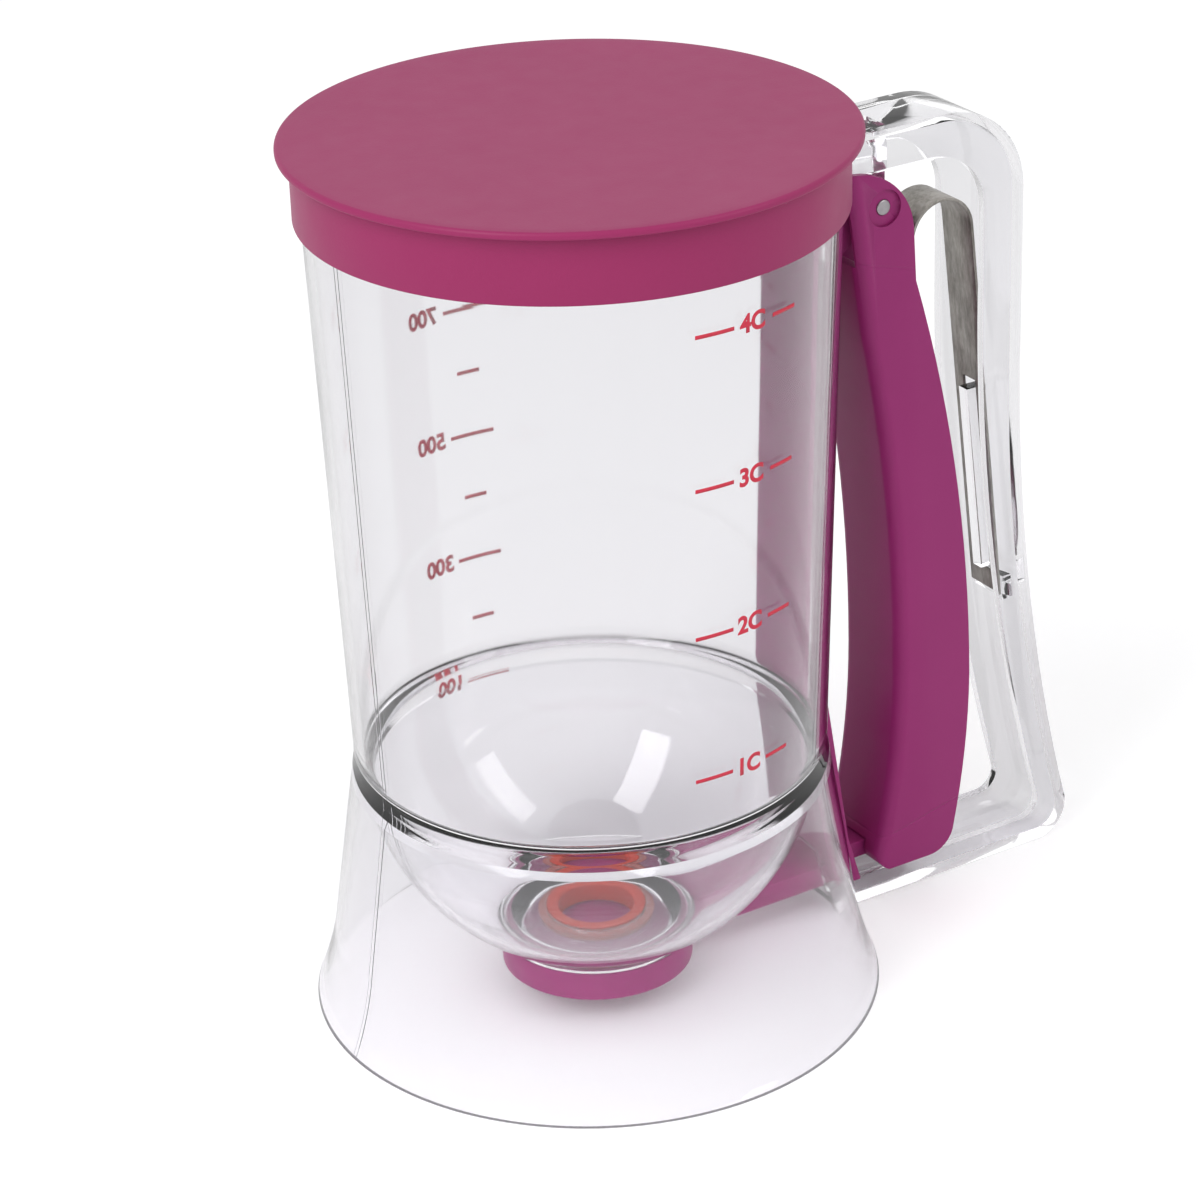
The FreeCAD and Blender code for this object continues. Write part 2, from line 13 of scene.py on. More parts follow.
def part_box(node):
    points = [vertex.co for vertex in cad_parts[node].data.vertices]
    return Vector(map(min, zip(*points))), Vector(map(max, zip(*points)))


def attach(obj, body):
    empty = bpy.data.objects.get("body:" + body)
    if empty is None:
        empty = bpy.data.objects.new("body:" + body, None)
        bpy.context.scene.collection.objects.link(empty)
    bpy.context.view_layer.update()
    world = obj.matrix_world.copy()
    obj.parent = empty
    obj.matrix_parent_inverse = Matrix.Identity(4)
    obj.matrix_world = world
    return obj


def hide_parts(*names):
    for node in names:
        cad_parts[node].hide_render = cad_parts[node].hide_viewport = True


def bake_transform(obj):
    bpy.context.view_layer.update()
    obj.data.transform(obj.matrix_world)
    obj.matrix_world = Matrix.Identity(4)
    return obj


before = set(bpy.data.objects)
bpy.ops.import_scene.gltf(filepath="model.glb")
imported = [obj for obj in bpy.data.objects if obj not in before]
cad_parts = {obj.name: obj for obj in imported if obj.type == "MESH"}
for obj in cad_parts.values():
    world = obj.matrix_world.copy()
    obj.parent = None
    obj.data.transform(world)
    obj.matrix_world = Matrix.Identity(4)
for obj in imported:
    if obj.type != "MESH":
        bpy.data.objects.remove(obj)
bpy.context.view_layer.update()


MM = 0.001

# %% [markdown]
# A surface is a small sum: noise times a strength plus a base value. Writing that sum as a Python
# expression keeps it readable, so one class wraps a socket and turns + - * / into Math nodes. Colours and
# vectors need other nodes, and one method makes any node from its type, settings and socket values.


# %% A material that is written as an expression
class Signal:
    """A node socket that can be added, subtracted, multiplied and divided."""

    def __init__(self, tree, socket):
        self.tree = tree
        self.socket = socket

    def math(self, operation, first, second=0.0, clamp=False):
        node = self.tree.nodes.new("ShaderNodeMath")
        node.operation = operation
        node.use_clamp = clamp
        for place, value in enumerate((first, second)):
            if isinstance(value, Signal):
                self.tree.links.new(value.socket, node.inputs[place])
            else:
                node.inputs[place].default_value = value
        return Signal(self.tree, node.outputs[0])

    def __add__(self, other):
        return self.math("ADD", self, other)

    def __radd__(self, other):
        return self.math("ADD", other, self)

    def __sub__(self, other):
        return self.math("SUBTRACT", self, other)

    def __rsub__(self, other):
        return self.math("SUBTRACT", other, self)

    def __mul__(self, other):
        return self.math("MULTIPLY", self, other)

    def __rmul__(self, other):
        return self.math("MULTIPLY", other, self)

    def __truediv__(self, other):
        return self.math("DIVIDE", self, other)

    def __abs__(self):
        return self.math("ABSOLUTE", self)

    def clamped(self):
        return self.math("ADD", self, 0.0, clamp=True)


class Finish:
    """A material with one Principled shader, and the nodes that vary what reaches it."""

    def __init__(self, name, **constants):
        self.material = bpy.data.materials.new(name)
        self.material.use_nodes = True
        self.tree = self.material.node_tree
        self.shader = self.tree.nodes["Principled BSDF"]
        self.output = self.tree.nodes["Material Output"]
        for socket, value in constants.items():
            self.shader.inputs[socket.replace("_", " ")].default_value = value

    def node(self, kind, settings=None, out=0, **inputs):
        """Any node: its settings come first, then the values or links of its sockets."""
        made = self.tree.nodes.new("ShaderNode" + kind)
        for key, value in (settings or {}).items():
            setattr(made, key, value)
        for key, value in inputs.items():
            socket = made.inputs[int(key[1:])] if key[0] == "_" else made.inputs[key.replace("_", " ")]
            if isinstance(value, Signal):
                self.tree.links.new(value.socket, socket)
            else:
                socket.default_value = value
        return Signal(self.tree, made.outputs[out])

    def place(self):
        return self.node("TexCoord", out="Object")

    def axes(self):
        """The three coordinates of a point of the piece, in metres."""
        split = self.node("SeparateXYZ", Vector=self.place())
        return [Signal(self.tree, split.socket.node.outputs[number]) for number in range(3)]

    def noise(self, scale, detail=2.0, roughness=0.5, stretch=(1, 1, 1)):
        """Soft noise around zero, with a scale in features to the metre."""
        mapped = self.node("Mapping", Vector=self.place(), Scale=stretch)
        return self.node("TexNoise", Vector=mapped, Scale=scale, Detail=detail, Roughness=roughness) - 0.5

    def tint(self, mask, low, high):
        """A colour that goes from low to high as the mask goes from 0 to 1."""
        return self.node("Mix", {"data_type": "RGBA"}, out=2, _0=mask, _6=(*low, 1), _7=(*high, 1))

    def ray(self, kind):
        """1 on rays of one kind, such as Shadow or Camera, and 0 on the rest."""
        path = self.node("LightPath")
        return Signal(self.tree, path.socket.node.outputs["Is %s Ray" % kind])

    def feed(self, socket, signal):
        self.tree.links.new(signal.socket, self.shader.inputs[socket])

    def bump(self, height, depth, strength=1.0):
        self.feed("Normal", self.node("Bump", Height=height, Distance=depth, Strength=strength))


print("signals and finishes are ready")

# %% [markdown]
# The jug is one clear moulding. Clear plastic bends light and shows white edges, so the shader passes
# light through, with an index under that of styrene, which keeps the thick corners light. A faint waviness
# from the mould keeps reflections alive, and the mould's parting line runs down the side opposite the
# handle. Shadow rays pass straight through with a tint, so that what stands inside the jug is lit as it
# would be by light that the plastic bends.

# %% Clear plastic
CLEAR_INDEX = 1.42
PARTING_HALF_WIDTH = 0.22 * MM
clear = Finish("clear_styrene", Roughness=0.03, IOR=CLEAR_INDEX, Transmission_Weight=1.0,
               Specular_IOR_Level=0.5)
x, y, z = clear.axes()
parting = (1.0 - abs(y) / PARTING_HALF_WIDTH).clamped() * (x * -1000.0).clamped()
clear.feed("Base Color", clear.tint(parting, (0.972, 0.968, 0.982), (0.42, 0.42, 0.45)))
clear.bump(clear.noise(28.0, 1.0) + parting * 0.5, 0.00025, 0.35)
clear.feed("Roughness", clear.noise(90.0) * 0.03 + 0.035)
solid = Signal(clear.tree, clear.shader.outputs["BSDF"])
open_way = clear.node("BsdfTransparent", Color=(0.64, 0.62, 0.65, 1))
lit_through = clear.node("MixShader", _0=clear.ray("Shadow"), _1=solid, _2=open_way)
clear.tree.links.new(lit_through.socket, clear.output.inputs["Surface"])
print("clear plastic:", clear.material.name)

# %% [markdown]
# The lid, the grip and the lever come in the same berry plastic. It is a solid colour with a fine satin
# grain, so it needs a small change of tone, a roughness that wanders a little and a grain far too small
# to see as bumps. The grip also has a shallow crease near its top and one near its foot.

# %% Berry plastic
BERRY, BERRY_PALE = (0.300, 0.022, 0.150), (0.330, 0.029, 0.168)
LID_BERRY, LID_BERRY_PALE = (0.305, 0.022, 0.108), (0.335, 0.029, 0.124)
CREASE_HALF_WIDTH = 0.45 * MM


def berry_finish(name, roughness, deep, pale, creases=()):
    """Satin plastic with a fine grain. A crease is a height and how fast it climbs along X."""
    made = Finish(name, Roughness=roughness, IOR=1.5, Specular_IOR_Level=0.22)
    made.feed("Base Color", made.tint((made.noise(35.0, 3.0) + 0.5).clamped(), deep, pale))
    made.feed("Roughness", made.noise(160.0, 3.0) * 0.10 + roughness)
    depth = made.noise(2600.0, 2.0) * 0.2
    across, _, high = made.axes()
    for crease_up, climb in creases:
        away = abs(high - across * climb - crease_up * MM)
        depth = depth - (1.0 - away / CREASE_HALF_WIDTH).clamped()
    made.bump(depth, 0.2 * MM, 0.6)
    return made


UPPER_CREASE, LOWER_CREASE = (177.0, -0.28), (0.5, 0.22)
berry = berry_finish("berry_satin", 0.40, BERRY, BERRY_PALE)
berry_lid = berry_finish("berry_lid_satin", 0.42, LID_BERRY, LID_BERRY_PALE)
berry_grip = berry_finish("berry_grip_satin", 0.40, BERRY, BERRY_PALE, (UPPER_CREASE, LOWER_CREASE))
print("berry plastic:", berry.material.name, berry_lid.material.name, berry_grip.material.name)

# %% [markdown]
# The spring is cold-rolled strip: fine lines run along it, and handling leaves it a little blotchy. The pin
# is plain turned steel. The gasket is soft red silicone, and the scales are red screen print.

# %% Metal, silicone and ink
strip_steel = Finish("rolled_strip", Metallic=1.0, Roughness=0.45)
rolling = strip_steel.noise(700.0, 3.0, stretch=(1.0, 1.0, 0.04))
handled = strip_steel.noise(120.0, 3.0) + strip_steel.noise(900.0, 4.0, 0.7, (1.0, 1.0, 0.25)) * 1.6 + 0.5
strip_steel.feed("Base Color", strip_steel.tint(handled.clamped(), (0.14, 0.13, 0.115), (0.42, 0.40, 0.37)))
strip_steel.feed("Roughness", rolling * 0.25 + 0.42)
strip_steel.bump(rolling, 0.00003, 0.6)

pin_steel = Finish("turned_steel", Metallic=1.0, Roughness=0.35)
pin_steel.feed("Base Color", pin_steel.tint((pin_steel.noise(900.0) + 0.5).clamped(),
                                            (0.30, 0.28, 0.30), (0.44, 0.42, 0.43)))
pin_steel.feed("Roughness", pin_steel.noise(1500.0) * 0.2 + 0.35)

silicone = Finish("red_silicone", Roughness=0.5, IOR=1.42)
silicone.feed("Base Color", silicone.tint((silicone.noise(200.0) + 0.5).clamped(),
                                          (0.46, 0.030, 0.014), (0.56, 0.042, 0.020)))
silicone.feed("Roughness", silicone.noise(400.0) * 0.15 + 0.5)

ink = Finish("red_print", Roughness=0.45)
ink.feed("Base Color", ink.tint((ink.noise(500.0, 3.0) + 0.5).clamped(),
                                (0.55, 0.010, 0.040), (0.70, 0.020, 0.060)))
ink.feed("Roughness", ink.noise(800.0) * 0.1 + 0.45)
print("metal, silicone and ink are ready")

# %% [markdown]
# Most of the jug is turned on one axis, so its shape is half a section spun round. A pen draws that
# section: it goes straight by extruding its last point, and round by spinning that point about a centre.


# %% A pen for turned sections
def finished(mesh, name, finish, smooth_angle=35.0):
    """Turn a bmesh into a piece that is smooth where it is round and crisp where it is not."""
    data = bpy.data.meshes.new(name)
    mesh.to_mesh(data)
    mesh.free()
    for face in data.polygons:
        face.use_smooth = True
    data.set_sharp_from_angle(angle=math.radians(smooth_angle))
    data.materials.append(finish.material)
    piece = bpy.data.objects.new(name, data)
    bpy.context.scene.collection.objects.link(piece)
    return piece


class Section:
    """Half a section, in millimetres out from the axis and up from the table."""

    def __init__(self, out, up):
        self.mesh = bmesh.new()
        self.first = self.last = self.mesh.verts.new((out * MM, 0, up * MM))

    def line(self, out, up):
        made = bmesh.ops.extrude_vert_indiv(self.mesh, verts=[self.last])
        self.last = made["verts"][0]
        self.last.co = (out * MM, 0, up * MM)
        return self

    def arc(self, out, up, centre_out, centre_up, steps=12):
        """Go round a centre to a point, the short way."""
        centre = Vector((centre_out * MM, 0, centre_up * MM))
        end = Vector((out * MM, 0, up * MM))
        start_arm = self.last.co - centre
        end_arm = end - centre
        turn = math.atan2(start_arm.z * end_arm.x - start_arm.x * end_arm.z, start_arm.dot(end_arm))
        made = bmesh.ops.spin(self.mesh, geom=[self.last], cent=centre, axis=(0, 1, 0), angle=turn,
                              steps=steps, use_duplicate=False)
        self.last = [item for item in made["geom_last"] if isinstance(item, bmesh.types.BMVert)][0]
        self.last.co = end
        return self

    def closed(self):
        self.mesh.edges.new((self.last, self.first))
        return self

    def turned(self, steps):
        mesh = self.mesh
        bmesh.ops.spin(mesh, geom=mesh.verts[:] + mesh.edges[:], cent=(0, 0, 0), axis=(0, 0, 1),
                       angle=math.tau, steps=steps, use_merge=True, use_duplicate=False)
        bmesh.ops.remove_doubles(mesh, verts=mesh.verts, dist=1e-6)
        bmesh.ops.recalc_face_normals(mesh, faces=mesh.faces)
        return mesh


print("sections can be drawn and turned")

# %% [markdown]
# A moulded piece never has a knife edge. The frame already holds the right outline of the handle, the grip
# and the lever, so a copy of it is merged, its flat triangles are joined, and its sharp edges are bevelled.


# %% Moulded copies
def moulded(node, edge, keep=lambda point: False, sharp_angle=38.0, segments=2):
    """A merged copy of a node with its sharp edges rounded, except where keep says so."""
    mesh = bmesh.new()
    mesh.from_mesh(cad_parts[node].data)
    bmesh.ops.remove_doubles(mesh, verts=mesh.verts, dist=2e-6)
    bmesh.ops.dissolve_limit(mesh, angle_limit=math.radians(0.6), use_dissolve_boundaries=False,
                             verts=mesh.verts, edges=mesh.edges)
    sharp = [line for line in mesh.edges
             if line.is_manifold and line.calc_face_angle() > math.radians(sharp_angle)
             and not (keep(line.verts[0].co) and keep(line.verts[1].co))]
    bmesh.ops.bevel(mesh, geom=sharp, offset=edge * MM, offset_type="OFFSET", segments=segments,
                    profile=0.5, affect="EDGES", clamp_overlap=True, material=-1)
    return mesh


def cut(piece, tool, operation):
    """Join or cut one solid with another, and leave the result as a plain mesh."""
    step = piece.modifiers.new("shape", "BOOLEAN")
    step.operation = operation
    step.solver = "EXACT"
    step.object = tool
    made = bpy.data.meshes.new_from_object(piece.evaluated_get(bpy.context.evaluated_depsgraph_get()))
    piece.modifiers.clear()
    piece.data = made
    bpy.data.objects.remove(tool)


print("moulded copies can be made")

# %% [markdown]
# The jug: a flared skirt, a waist with two fine beads where the bowl meets the wall, a straight wall and
# a plain rim. Support rings next to each corner keep its turn out of the long smooth walls. The bowl hangs
# inside the skirt and ends in a flat floor with the outlet and a collar.

# %% The turned jug
JUG_STEPS, JUG_SMOOTH_ANGLE = 180, 30.0
WALL = 2.0
BASE, FLARE, WAIST, RIM = 63.2, 57.9, 51.8, 55.6
FLARE_UP, WAIST_UP, BEAD_UP, RIM_UP, LIP_UP = 20.0, 60.0, 62.5, 183.4, 198.1
LEDGE_UP, SUPPORT = 60.5, 1.2
BOWL, FLOOR_UP, FLOOR_UNDER = 47.9, 18.0, 16.0
BORE, COLLAR, COLLAR_IN, COLLAR_UP = 11.3, 21.3, 19.5, 13.2
FLARE_CENTRE = (137.2, 31.3)
bowl_outside = WAIST - WALL
JOIN_UP = 55.0
join_out = math.sqrt(bowl_outside ** 2 - (WAIST_UP - JOIN_UP) ** 2)
floor_out = math.sqrt(BOWL ** 2 - (WAIST_UP - FLOOR_UP) ** 2)
collar_join = WAIST_UP - math.sqrt(bowl_outside ** 2 - COLLAR ** 2)
skirt_join = WAIST - WALL + (FLARE - WAIST) * (WAIST_UP - JOIN_UP + 1.5) / (WAIST_UP - FLARE_UP)



def wall_out(up):
    """The outside radius of the wall at a height, in millimetres."""
    return WAIST + (RIM - WAIST) * (up - BEAD_UP) / (RIM_UP - BEAD_UP)


def skirt_out(up):
    """The outside radius of the straight part of the skirt at a height."""
    return FLARE + (WAIST - FLARE) * (up - FLARE_UP) / (WAIST_UP - FLARE_UP)


jug = Section(BASE, 0.4).arc(FLARE, FLARE_UP, *FLARE_CENTRE, 8)
jug.line(skirt_out(WAIST_UP - 4.0), WAIST_UP - 4.0).line(WAIST + 0.35, WAIST_UP - 2.4)
jug.line(WAIST, WAIST_UP - 1.8).line(WAIST, BEAD_UP - 0.5).line(WAIST - 0.08, BEAD_UP)
jug.line(wall_out(BEAD_UP + 0.5), BEAD_UP + 0.5).line(wall_out(BEAD_UP + SUPPORT), BEAD_UP + SUPPORT)
jug.line(wall_out(RIM_UP - SUPPORT), RIM_UP - SUPPORT).line(RIM, RIM_UP).line(RIM, LIP_UP - 0.5)
jug.arc(RIM - 0.5, LIP_UP, RIM - 0.5, LIP_UP - 0.5, 3).line(RIM - WALL + 0.5, LIP_UP)
jug.arc(RIM - WALL, LIP_UP - 0.5, RIM - WALL + 0.5, LIP_UP - 0.5, 3).line(RIM - WALL, RIM_UP)
jug.line(wall_out(RIM_UP - SUPPORT) - WALL, RIM_UP - SUPPORT)
jug.line(wall_out(LEDGE_UP + SUPPORT) - WALL, LEDGE_UP + SUPPORT)
jug.line(wall_out(LEDGE_UP) - WALL, LEDGE_UP).line(BOWL, WAIST_UP)
jug.arc(floor_out, FLOOR_UP, 0, WAIST_UP, 24).line(BORE, FLOOR_UP)
jug.line(BORE, FLOOR_UNDER).line(COLLAR_IN, FLOOR_UNDER).line(COLLAR_IN, COLLAR_UP)
jug.line(COLLAR, COLLAR_UP).line(COLLAR, collar_join).arc(join_out, JOIN_UP, 0, WAIST_UP, 24)
jug.line(skirt_join, JOIN_UP - 1.5).line(FLARE - WALL, FLARE_UP)
jug.arc(BASE - WALL, 0.4, *FLARE_CENTRE, 8).line(BASE - WALL + 0.4, 0).line(BASE - 0.4, 0).closed()
clear_jug = finished(jug.turned(JUG_STEPS), "clear_jug", clear, JUG_SMOOTH_ANGLE)
print("turned jug faces:", len(clear_jug.data.polygons))

# %% [markdown]
# The arm of the gate leaves the skirt through a slot under the handle, and the handle is part of the same
# moulding. The ends of the copied handle are pushed a little into the wall, so that joining the two solids
# leaves one surface with no seam inside the clear plastic.

# %% Slot and handle
SLOT_HALF, SLOT_UP = 7.3, 17.0
SLOT_IN, SLOT_OUT, SLOT_DOWN = 45.0, 70.0, -5.0
slot = bmesh.new()
bmesh.ops.create_cube(slot, size=1.0)
bmesh.ops.scale(slot, vec=Vector((SLOT_OUT - SLOT_IN, SLOT_HALF * 2, SLOT_UP - SLOT_DOWN)) * MM,
                verts=slot.verts)
bmesh.ops.translate(slot, vec=Vector(((SLOT_OUT + SLOT_IN) / 2, 0, (SLOT_UP + SLOT_DOWN) / 2)) * MM,
                    verts=slot.verts)
cut(clear_jug, finished(slot, "slot_tool", clear), "DIFFERENCE")

HANDLE_LOW, TOP_END, FOOT_END = 10.0, 57.0, 64.0
HANDLE_EDGE, SUNK = 1.2, 1.0


def on_jug(point):
    """True on the two ends of the handle, where it meets the jug."""
    out = math.hypot(point.x, point.y) / MM
    high = point.z / MM
    return out < (FOOT_END if high < HANDLE_LOW else TOP_END)


handle_mesh = moulded("handle", HANDLE_EDGE, keep=on_jug, segments=3)
for corner in handle_mesh.verts:
    if on_jug(corner.co):
        out = math.hypot(corner.co.x, corner.co.y)
        corner.co.x *= (out - SUNK * MM) / out
        corner.co.y *= (out - SUNK * MM) / out
handle_tool = finished(handle_mesh, "handle_tool", clear)
cut(clear_jug, handle_tool, "UNION")
clear_jug.data.set_sharp_from_angle(angle=math.radians(JUG_SMOOTH_ANGLE))
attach(clear_jug, "jug")
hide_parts("jug_shell", "bowl", "handle")
print("clear jug faces:", len(clear_jug.data.polygons))

# %% [markdown]
# The lid is a disc that overhangs its own skirt. The rim of the disc is rounded on both sides, and the
# top sinks by a hair inside a fine step, as a flat moulding does when it cools.

# %% Lid
lid_low, lid_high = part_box("lid")
LID_OUT = lid_high.x / MM
LID_TOP = lid_high.z / MM
LID_LOW = lid_low.z / MM
LID_PLATE, SKIRT_IN, SKIRT_OUT = 1.6, 55.9, 57.3
lid = Section(0, LID_TOP - 0.25).line(LID_OUT - 3.0, LID_TOP - 0.1).line(LID_OUT - 0.8, LID_TOP)
lid.arc(LID_OUT, LID_TOP - 0.8, LID_OUT - 0.8, LID_TOP - 0.8, 5)
lid.line(LID_OUT, LID_TOP - LID_PLATE + 0.4)
lid.arc(LID_OUT - 0.4, LID_TOP - LID_PLATE, LID_OUT - 0.4, LID_TOP - LID_PLATE + 0.4, 4)
lid.line(SKIRT_OUT + 0.3, LID_TOP - LID_PLATE).line(SKIRT_OUT, LID_TOP - LID_PLATE - 0.3)
lid.line(SKIRT_OUT, LID_LOW + 0.3).arc(SKIRT_OUT - 0.3, LID_LOW, SKIRT_OUT - 0.3, LID_LOW + 0.3, 3)
lid.line(SKIRT_IN + 0.2, LID_LOW).line(SKIRT_IN, LID_LOW + 0.2).line(SKIRT_IN, LID_TOP - LID_PLATE)
lid.line(0, LID_TOP - LID_PLATE)
lid_piece = finished(lid.turned(180), "lid_cap", berry_lid, 40.0)
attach(lid_piece, "lid")
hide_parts("lid")
print("lid faces:", len(lid_piece.data.polygons))

# %% [markdown]
# The gasket is a soft ring with a flange. It is small, but it shows red through the bowl, so it gets
# round edges as well.

# %% Gasket
RING_IN, RING_OUT, FLANGE_OUT, FLANGE_UP, RING_UP = 8.5, 11.25, 13.25, 13.2, 18.4
gasket = Section(RING_IN + 0.4, FLANGE_UP).line(FLANGE_OUT - 0.4, FLANGE_UP)
gasket.arc(FLANGE_OUT, FLANGE_UP + 0.4, FLANGE_OUT - 0.4, FLANGE_UP + 0.4, 3)
gasket.line(FLANGE_OUT, FLOOR_UNDER - 0.05)
gasket.line(RING_OUT, FLOOR_UNDER - 0.05).line(RING_OUT, RING_UP - 0.3)
gasket.arc(RING_OUT - 0.3, RING_UP, RING_OUT - 0.3, RING_UP - 0.3, 3).line(RING_IN + 0.8, RING_UP)
gasket.arc(RING_IN, RING_UP - 0.8, RING_IN + 0.8, RING_UP - 0.8, 4).line(RING_IN, FLANGE_UP + 0.4).closed()
gasket_piece = finished(gasket.turned(96), "gasket_ring", silicone)
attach(gasket_piece, "jug")
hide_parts("outlet_gasket")
print("gasket faces:", len(gasket_piece.data.polygons))

# %% [markdown]
# Grip, lever, pin and spring keep the outlines of the frame and get moulded or rolled edges. On the real
# dispenser the spring bends when the trigger is pulled, its long leg staying in the handle and its short
# leg going with the grip; here its place is baked into its mesh and it follows no moving part.

# %% Grip, lever, pin and spring
PIN_OUT, PIN_UP, BOSS_REACH = 71.0, 170.5, 8.0


def by_the_pin(point):
    """True round the hinge, where the bores keep their own edges."""
    return math.hypot(point.x / MM - PIN_OUT, point.z / MM - PIN_UP) < BOSS_REACH


for node, name, body, finish, edge, segments, slot_name in (
        ("trigger_grip", "grip_moulding", "trigger", berry_grip, 1.5, 4, "purple_plastic"),
        ("valve_lever", "lever_moulding", "trigger", berry, 0.35, 2, "purple_plastic"),
        ("hinge_pin", "pin_rod", "jug", pin_steel, 0.3, 2, "pin_steel"),
        ("leaf_spring", "spring_strip", "trigger", strip_steel, 0.12, 2, "spring_steel")):
    keep = by_the_pin if node == "trigger_grip" else lambda point: False
    piece = finished(moulded(node, edge, keep=keep, segments=segments), name, finish, 35.0)
    if node == "leaf_spring":
        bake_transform(piece)
    else:
        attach(piece, body)
    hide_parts(node)
    print(name, "faces:", len(piece.data.polygons))

# %% [markdown]
# The scales are printed on the outside of the wall: cups on the near side and millilitres on the far side,
# where they show through in mirror writing. A mark starts flat, is sliced into narrow upright strips so
# that it can bend, and is then wrapped round the wall.

# %% Printed scales
INK_LIFT, INK_SKIN, STRIP_STEP = 0.05, 0.05, 1.0
BAR_TALL, LETTER_TALL = 0.85, 5.4


def wrapped(mesh, around, up):
    """Bend a flat mark, drawn in X and Y, round the wall at an angle and a height."""
    reach = max(abs(corner.co.x) for corner in mesh.verts)
    count = int(reach / (STRIP_STEP * MM)) + 1
    for number in range(-count, count + 1):
        bmesh.ops.bisect_plane(mesh, geom=mesh.verts[:] + mesh.edges[:] + mesh.faces[:],
                               plane_co=(number * STRIP_STEP * MM, 0, 0), plane_no=(1, 0, 0))
    for corner in mesh.verts:
        high = up + corner.co.y / MM
        out = (wall_out(high) + INK_LIFT) * MM
        turn = math.radians(around) + corner.co.x / out
        corner.co = (out * math.cos(turn), out * math.sin(turn), high * MM)
    return mesh


def bar(long):
    mesh = bmesh.new()
    bmesh.ops.create_grid(mesh, x_segments=1, y_segments=1, size=0.5)
    bmesh.ops.scale(mesh, vec=(long * MM, BAR_TALL * MM, 1), verts=mesh.verts)
    return mesh


def letters(words):
    curve = bpy.data.curves.new("scale_" + words, "FONT")
    curve.body = words
    curve.size = LETTER_TALL * MM
    curve.offset = 0.20 * MM
    curve.align_x = "CENTER"
    curve.align_y = "CENTER"
    holder = bpy.data.objects.new("scale_" + words, curve)
    bpy.context.scene.collection.objects.link(holder)
    flat = bpy.data.meshes.new_from_object(holder.evaluated_get(bpy.context.evaluated_depsgraph_get()))
    bpy.data.objects.remove(holder)
    mesh = bmesh.new()
    mesh.from_mesh(flat)
    bmesh.ops.remove_doubles(mesh, verts=mesh.verts, dist=1e-6)
    return mesh


def printed(mesh, name):
    piece = finished(mesh, name, ink)
    skin = piece.modifiers.new("ink_skin", "SOLIDIFY")
    skin.thickness = INK_SKIN * MM
    skin.offset = 1.0
    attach(piece, "jug")
    return piece


CUP_FIRST_UP, CUP_STEP = 74.1, 33.25
for cup in range(1, 5):
    cup_up = CUP_FIRST_UP + CUP_STEP * (cup - 1)
    printed(wrapped(bar(9.0), -91.8, cup_up), "cup_bar_left_%d" % cup)
    printed(wrapped(letters("%dC" % cup), -82.2, cup_up), "cup_letters_%d" % cup)
    printed(wrapped(bar(6.8), -73.1, cup_up), "cup_bar_right_%d" % cup)

ML_FIRST_UP, ML_STEP = 53.9, 14.87
for hundred in range(1, 8):
    ml_up = ML_FIRST_UP + ML_STEP * (hundred - 1)
    if hundred % 2:
        printed(wrapped(bar(11.0), 86.6, ml_up), "ml_bar_%d" % hundred)
        printed(wrapped(letters("%d00" % hundred), 98.5, ml_up), "ml_letters_%d" % hundred)
    else:
        printed(wrapped(bar(5.6), 86.6, ml_up), "ml_bar_%d" % hundred)
print("scales are printed")

# %% [markdown]
# The stage is a pale floor that runs out to white, as on a light table: it glows a little, more to the
# camera than through the plastic. The world is white to the camera and through plastic and a shade less in
# mirrors, and two tall lamps leave the glints of windows in the bowl.

# %% Floor and world
FLOOR_HALF = 6.0
FLOOR_GLOW, FLOOR_GLOW_THROUGH = 0.30, 0.05
ROOM_LIGHT, MIRROR_LIGHT = 0.62, 0.88
floor_mesh = bmesh.new()
bmesh.ops.create_grid(floor_mesh, x_segments=1, y_segments=1, size=FLOOR_HALF)
floor_finish = Finish("pale_floor", Roughness=0.9, Specular_IOR_Level=0.1)
floor_finish.shader.inputs["Base Color"].default_value = (0.93, 0.93, 0.935, 1)
floor_finish.shader.inputs["Emission Color"].default_value = (1, 1, 1, 1)
seen_floor = floor_finish.ray("Camera") * FLOOR_GLOW
through_floor = (floor_finish.ray("Glossy") + floor_finish.ray("Transmission")).clamped()
floor_finish.feed("Emission Strength", seen_floor + through_floor * FLOOR_GLOW_THROUGH)
floor = finished(floor_mesh, "floor", floor_finish)

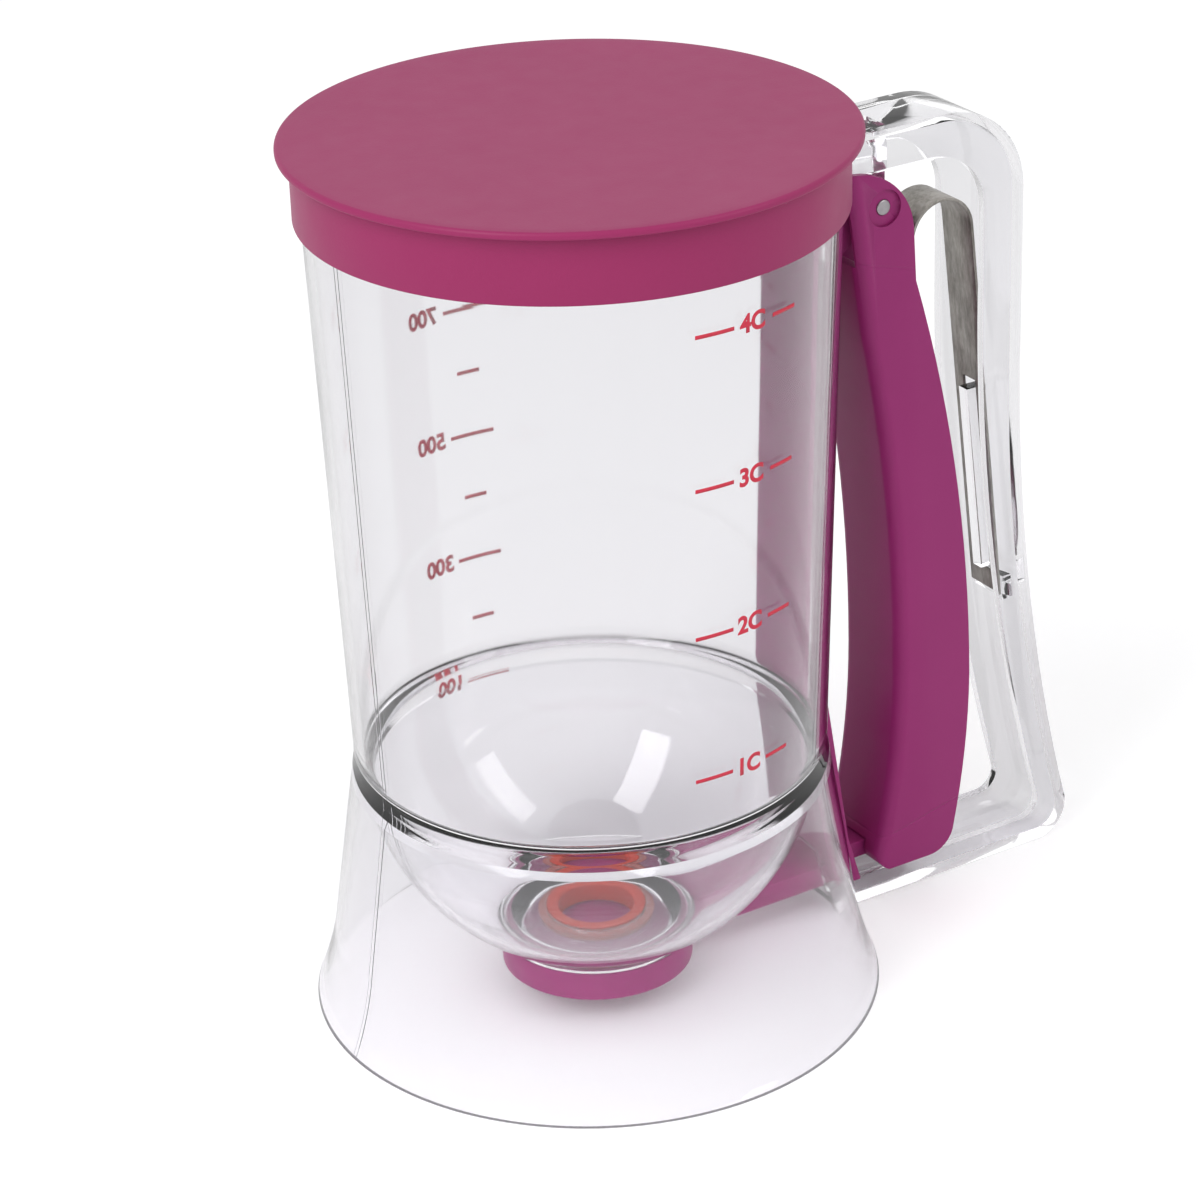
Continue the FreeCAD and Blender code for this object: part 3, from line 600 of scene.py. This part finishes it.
world = bpy.data.worlds.new("white_room")
world.use_nodes = True
bpy.context.scene.world = world
tree = world.node_tree
background = tree.nodes["Background"]
background.inputs["Color"].default_value = (1, 1, 1, 1)
ray = tree.nodes.new("ShaderNodeLightPath")
seen = Signal(tree, ray.outputs["Is Camera Ray"])
mirror = Signal(tree, ray.outputs["Is Glossy Ray"])
through = Signal(tree, ray.outputs["Is Transmission Ray"])
white = (seen + through).clamped() * (1.0 - ROOM_LIGHT) + mirror * (MIRROR_LIGHT - ROOM_LIGHT) + ROOM_LIGHT
tree.links.new(white.socket, background.inputs["Strength"])


def lamp(name, watts, wide, tall, place, target=(0.03, 0, 0.09)):
    light = bpy.data.lights.new(name, "AREA")
    light.energy = watts
    light.shape = "RECTANGLE"
    light.size = wide
    light.size_y = tall
    holder = bpy.data.objects.new(name, light)
    holder.location = place
    aim = Vector(target) - Vector(place)
    holder.rotation_euler = aim.to_track_quat("-Z", "Y").to_euler()
    bpy.context.scene.collection.objects.link(holder)


lamp("window_left", 9.0, 0.45, 1.1, (-1.0, -0.35, 1.0))
lamp("window_right", 5.0, 0.40, 1.1, (0.8, -1.1, 1.1))
print("room light:", ROOM_LIGHT)

# %% [markdown]
# The camera stands where the photograph was taken: three quarters of a metre off, half a metre up, with a
# long lens and a slight tilt of the horizon.

# %% Camera
HANDLE_TURN = math.radians(31.0)
CAMERA_OUT, CAMERA_UP = 0.7413, 0.4556
LOOK_ASIDE, LOOK_DOWN, TILT = 0.0041860, 0.4544216, -0.0328353
LENS, FILM = 115.09, 36.0
right = Vector((math.cos(HANDLE_TURN), -math.sin(HANDLE_TURN), 0))
away = Vector((math.sin(HANDLE_TURN), math.cos(HANDLE_TURN), 0))
up = Vector((0, 0, 1))
level = math.sin(LOOK_ASIDE) * right + math.cos(LOOK_ASIDE) * away
ahead = level * math.cos(LOOK_DOWN) - math.sin(LOOK_DOWN) * up
side = ahead.cross(up).normalized()
top = side.cross(ahead)
tilted_side = side * math.cos(TILT) + top * math.sin(TILT)
tilted_top = top * math.cos(TILT) - side * math.sin(TILT)
camera_data = bpy.data.cameras.new("camera")
camera_data.lens = LENS
camera_data.sensor_width = FILM
camera = bpy.data.objects.new("camera", camera_data)
turned = Matrix((tilted_side, tilted_top, -ahead)).transposed().to_4x4()
camera.matrix_world = Matrix.Translation(-away * CAMERA_OUT + up * CAMERA_UP) @ turned
bpy.context.scene.collection.objects.link(camera)
bpy.context.scene.camera = camera
bpy.context.scene.view_settings.view_transform = "Standard"
print("camera at", tuple(round(value, 4) for value in camera.location))
